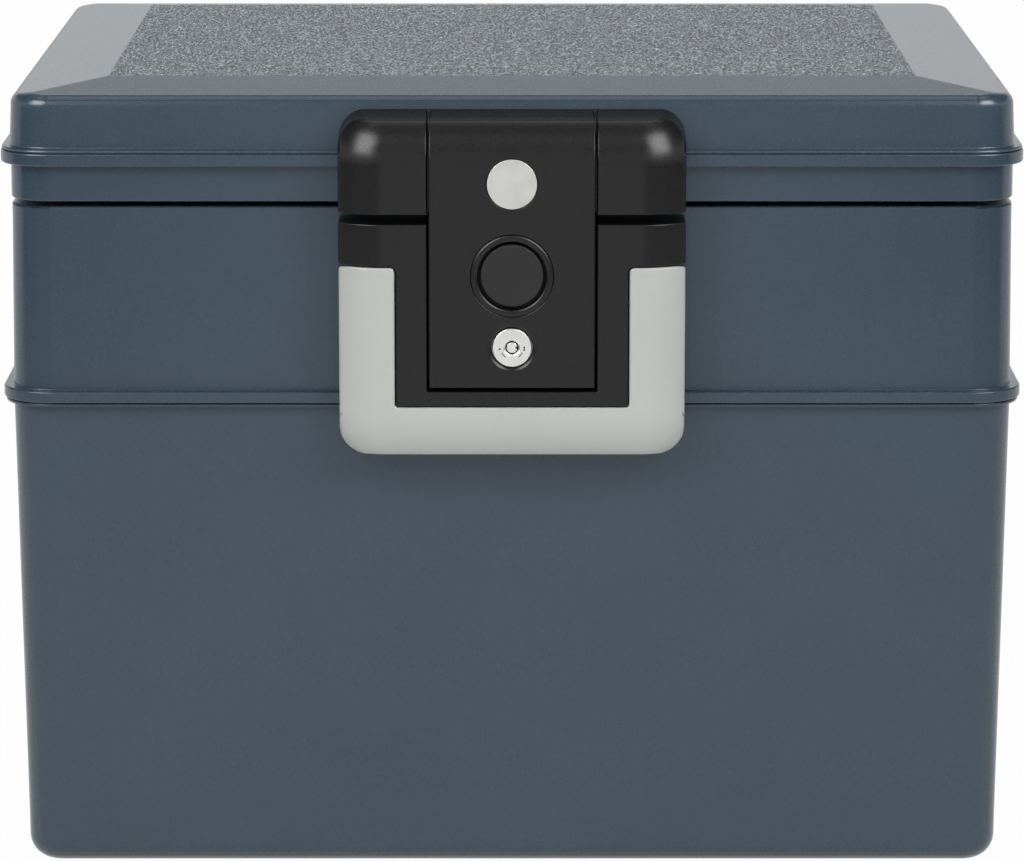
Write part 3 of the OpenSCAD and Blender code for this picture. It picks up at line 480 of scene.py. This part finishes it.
# Dots round the keyway, from the middle of the lock, and the arcs between them, in degrees.
DOT_RADIUS = 0.42 * MM
DOTS = {
    "mark_open": (-4.9 * MM, -0.5 * MM),
    "mark_shut_a": (4.9 * MM, 0.1 * MM),
    "mark_shut_b": (4.9 * MM, -0.85 * MM),
}
ARC_RADIUS = 4.55 * MM
ARC_WIDTH = 0.35 * MM
ARCS = {"mark_turn_a": (205, 236), "mark_turn_b": (304, 335)}

# The notch of the keyway, on the plug that turns, drawn as a flat dark disc of painted shade.
NOTCH_PLACE = 1.77 * MM
NOTCH_RADIUS = 0.45 * MM


def flat_mark(name, outline, front_y, body):
    """A thin dark inlay on a face that looks to the front, from an outline in X and Z; on the plug it is
    painted shade in the keyway's notch.
    """
    mesh = bmesh.new()
    face = mesh.faces.new([mesh.verts.new((x, front_y, z)) for x, z in outline])
    mesh.normal_update()
    if face.normal.y > 0:
        face.normal_flip()
    back = bmesh.ops.extrude_face_region(mesh, geom=[face])["geom"]
    for vertex in (g for g in back if isinstance(g, bmesh.types.BMVert)):
        vertex.co.y += MARK_DEPTH
    bmesh.ops.recalc_face_normals(mesh, faces=mesh.faces)
    data = bpy.data.meshes.new(name)
    mesh.to_mesh(data)
    mesh.free()
    data.materials.append(FINISHES["ink_and_notch_shade"].material)
    piece = add_object(name, data)
    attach(piece, body)


def circle_outline(x, z, radius, steps=20):
    """A round outline."""
    turns = [2 * math.pi * i / steps for i in range(steps)]
    return [(x + radius * math.cos(a), z + radius * math.sin(a)) for a in turns]


def arc_outline(z, start, end, steps=12):
    """A curved bar round a middle at x = 0, between two angles in degrees."""
    angles = [math.radians(start + (end - start) * i / steps) for i in range(steps + 1)]
    outer, inner = (
        [(radius * math.cos(a), z + radius * math.sin(a)) for a in angles]
        for radius in (ARC_RADIUS + ARC_WIDTH / 2, ARC_RADIUS - ARC_WIDTH / 2)
    )
    return outer + inner[::-1]


def lock_marks():
    """Plain dots and arcs on the barrel, and painted shade for the notch on the plug."""
    low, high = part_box("lock_barrel")
    middle = (low.z + high.z) / 2
    face = low.y - MARK_PROUD
    for name, (x, z) in DOTS.items():
        flat_mark(name, circle_outline(x, middle + z, DOT_RADIUS), face, "lid")
    for name, (start, end) in ARCS.items():
        flat_mark(name, arc_outline(middle, start, end), face, "lid")
    plug_low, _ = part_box("lock_rotor")
    # The dark disc on the plug is painted shade where the keyway's notch is.
    notch = circle_outline(NOTCH_PLACE, middle, NOTCH_RADIUS)
    flat_mark("lock_notch_shade", notch, plug_low.y - MARK_PROUD, "lock")


lock_marks()


# ---- studio ----

# The camera, fitted to the photo; the pitch is in degrees below level.
CAMERA_PLACE = (0.0, -2.1153, 0.5883)
CAMERA_PITCH = 11.68
CAMERA_LENS = 172.1
CAMERA_SENSOR = 36.0

WHITE = (1.0, 1.0, 1.0, 1.0)
DULL = 0.9

# The world: its light, and what reflections see overhead and on the camera's side.
WORLD_LIGHT = 0.36
CEILING = 0.08
CEILING_RISE = (0.27, 0.448)
CAMERA_SIDE = 0.75
CAMERA_SIDE_DEPTH = (-0.6, 0.0)

FLOOR_HALF = 6.0
FLOOR_DROP = 0.2 * MM
FLOOR_GREY = (0.86, 0.86, 0.86, 1.0)
FLOOR_WHITE = 0.97

# Lamps: place, size and power. The first two stand at both sides, the rest once.
AIM = (0.0, 0.0, 0.17)
KEY = ((1.15, -1.35, 1.45), (0.9, 1.0), 11.0)
GLINT = ((1.12, -1.31, 1.42), (1.3, 1.3), 34.0)
FRONT_FILL = ((0.0, -2.3, 1.8), (2.0, 1.4), 13.0)
TOP_SOFT = ((0.0, 0.25, 2.0), (1.5, 1.5), 9.0)
TOP_AIM = (0.0, 0.25, 0.3)

# Dark cards at both sides, as a path in X and Y.
FLAG_COLOUR = (0.02, 0.02, 0.022, 1.0)
FLAG_HEIGHT = 0.3
FLAG_PATH = ((0.25, -1.5), (0.9, -1.25), (1.3, -0.7), (1.35, -0.1))


def add_camera():
    """The view of the photo."""
    data = bpy.data.cameras.new("camera")
    data.sensor_width = CAMERA_SENSOR
    data.lens = CAMERA_LENS
    data.clip_start = 0.05
    data.clip_end = 50.0
    camera = add_object("camera", data)
    camera.location = CAMERA_PLACE
    camera.rotation_euler = (math.radians(90 - CAMERA_PITCH), 0.0, 0.0)
    bpy.context.scene.camera = camera


def add_lamp(name, lamp, side=1, aim=AIM):
    """A soft lamp that the camera doesn't see, on one side of the middle."""
    (x, y, z), size, power = lamp
    data = bpy.data.lights.new(name, "AREA")
    data.shape = "RECTANGLE"
    data.size, data.size_y = size
    data.energy = power
    made = add_object(name, data)
    made.location = (side * x, y, z)
    towards = Vector(aim) - Vector((side * x, y, z))
    made.rotation_euler = towards.to_track_quat("-Z", "Y").to_euler()
    made.visible_camera = False
    return made


def fade(tree, socket, span, low, high):
    """A smooth step from low to high along a socket."""
    made = tree.nodes.new("ShaderNodeMapRange")
    made.interpolation_type = "SMOOTHSTEP"
    for name, value in zip(("From Min", "From Max", "To Min", "To Max"), (*span, low, high)):
        made.inputs[name].default_value = value
    tree.links.new(socket, made.inputs["Value"])
    return made.outputs[0]


def combine(tree, operation, first, second):
    """Arithmetic on a socket and another socket or a number."""
    made = tree.nodes.new("ShaderNodeMath")
    made.operation = operation
    tree.links.new(first, made.inputs[0])
    if isinstance(second, bpy.types.NodeSocket):
        tree.links.new(second, made.inputs[1])
    else:
        made.inputs[1].default_value = second
    return made.outputs[0]


def mix_surface(tree, output, factor, first, second):
    """Links a mix of two shaders to an output."""
    mix = tree.nodes.new("ShaderNodeMixShader")
    tree.links.new(factor, mix.inputs[0])
    tree.links.new(first.outputs[0], mix.inputs[1])
    tree.links.new(second.outputs[0], mix.inputs[2])
    tree.links.new(mix.outputs[0], tree.nodes[output].inputs["Surface"])


def seen_directly(tree):
    """1 for rays from the camera, or by way of metal, gloss or glass."""
    path = tree.nodes.new("ShaderNodeLightPath")
    seen = path.outputs["Is Camera Ray"]
    for name in ("Is Glossy Ray", "Is Transmission Ray"):
        seen = combine(tree, "MAXIMUM", seen, path.outputs[name])
    return seen


def studio_walls(tree):
    """1 for the camera and for what lies behind the object; dim overhead and on the camera's side."""
    place = tree.nodes.new("ShaderNodeTexCoord")
    parts = tree.nodes.new("ShaderNodeSeparateXYZ")
    tree.links.new(place.outputs["Generated"], parts.inputs[0])
    rise = fade(tree, parts.outputs[2], CEILING_RISE, 1.0, CEILING)
    depth = fade(tree, parts.outputs[1], CAMERA_SIDE_DEPTH, CAMERA_SIDE, 1.0)
    path = tree.nodes.new("ShaderNodeLightPath")
    walls = combine(tree, "MULTIPLY", rise, depth)
    return combine(tree, "MAXIMUM", walls, path.outputs["Is Camera Ray"])


def stage_mesh(name, corners, faces, colour):
    """A dull piece of the studio, and its material."""
    data = bpy.data.meshes.new(name)
    data.from_pydata(corners, [], faces)
    made = add_object(name, data)
    material = bpy.data.materials.new(name)
    material.use_nodes = True
    bsdf = material.node_tree.nodes["Principled BSDF"]
    bsdf.inputs["Base Color"].default_value = colour
    bsdf.inputs["Roughness"].default_value = DULL
    data.materials.append(material)
    return made, material.node_tree


def add_flag(name, side):
    """A bent dark card beside the lights, seen only in reflections."""
    corners = [(side * x, y, z) for z in (0.0, FLAG_HEIGHT) for x, y in FLAG_PATH]
    count = len(FLAG_PATH)
    faces = [(i, i + 1, i + 1 + count, i + count) for i in range(count - 1)]
    flag, _ = stage_mesh(name, corners, faces, FLAG_COLOUR)
    for ray in ("camera", "diffuse", "shadow", "transmission", "volume_scatter"):
        setattr(flag, "visible_" + ray, False)


def add_world():
    """White behind the object, dimmer as a source of light."""
    world = bpy.data.worlds.new("studio")
    bpy.context.scene.world = world
    world.use_nodes = True
    tree = world.node_tree
    light = tree.nodes["Background"]
    light.inputs["Color"].default_value = WHITE
    light.inputs["Strength"].default_value = WORLD_LIGHT
    shown = tree.nodes.new("ShaderNodeBackground")
    shown.inputs["Color"].default_value = WHITE
    tree.links.new(studio_walls(tree), shown.inputs["Strength"])
    mix_surface(tree, "World Output", seen_directly(tree), light, shown)


def add_floor():
    """A plain white floor that keeps a faint shadow."""
    half = FLOOR_HALF
    corners = [(-half, -half, 0), (half, -half, 0), (half, half, 0), (-half, half, 0)]
    floor, tree = stage_mesh("floor", corners, [(0, 1, 2, 3)], FLOOR_GREY)
    floor.location.z = -FLOOR_DROP
    bsdf = tree.nodes["Principled BSDF"]
    bsdf.inputs["Specular IOR Level"].default_value = 0.0
    glow = tree.nodes.new("ShaderNodeEmission")
    glow.inputs["Strength"].default_value = 1.0
    share = combine(tree, "MULTIPLY", seen_directly(tree), FLOOR_WHITE)
    mix_surface(tree, "Material Output", share, bsdf, glow)


def add_lights():
    """Keys and glints at both sides in front, a fill from the camera's side and one from above."""
    for side in (-1, 1):
        add_lamp("key_%d" % (side + 1), KEY, side)
        add_lamp("glint_%d" % (side + 1), GLINT, side).visible_diffuse = False
    add_lamp("front_fill", FRONT_FILL).visible_glossy = False
    add_lamp("top_soft", TOP_SOFT, aim=TOP_AIM)
    for side in (-1, 1):
        add_flag("flag_%d" % (side + 1), side)


add_camera()
add_world()
add_floor()
add_lights()

bpy.context.scene.view_settings.view_transform = "Standard"
